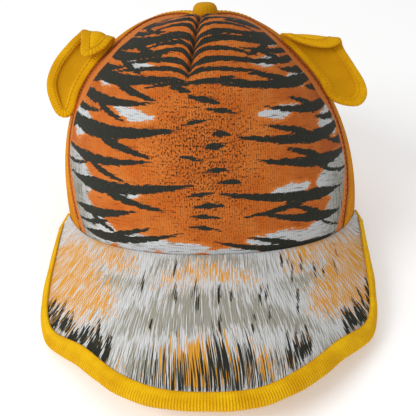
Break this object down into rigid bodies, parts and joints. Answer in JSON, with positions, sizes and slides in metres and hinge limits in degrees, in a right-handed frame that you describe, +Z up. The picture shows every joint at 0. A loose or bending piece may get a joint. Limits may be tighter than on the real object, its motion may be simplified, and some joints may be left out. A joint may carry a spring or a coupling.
{
  "type": "trucker hat",
  "caption": "Foam-fronted trucker hat with mesh sides and back, a curved bound peak, folded animal ears on the front seams, a top button and an open back with a strap.",
  "frame": {"origin": "centre of the hat's bounding box at its lowest plane, the surface it rests on", "axes": "+Z up, -Y towards the peak, +X towards the right of the picture"},
  "size_m": [0.1856, 0.2672, 0.1378],
  "materials": {
    "printed_foam": "matte printed cloth over foam",
    "printed_peak": "matte printed cloth",
    "mesh": "open plastic mesh",
    "yellow_cloth": "matte ribbed cloth",
    "ear_cloth": "matte ribbed cloth",
    "strap_plastic": "satin"
  },
  "bodies": {
    "root": {"front_panel": "printed_foam", "mesh_side_left": "mesh", "mesh_back_left": "mesh", "mesh_side_right": "mesh", "mesh_back_right": "mesh", "peak": "printed_peak", "peak_binding": "yellow_cloth", "rim_band": "yellow_cloth", "opening_binding": "yellow_cloth", "snap_strap": "strap_plastic", "top_button": "yellow_cloth", "ear_left": "ear_cloth", "ear_left_border": "yellow_cloth", "ear_right": "ear_cloth", "ear_right_border": "yellow_cloth"}
  },
  "joints": []
}
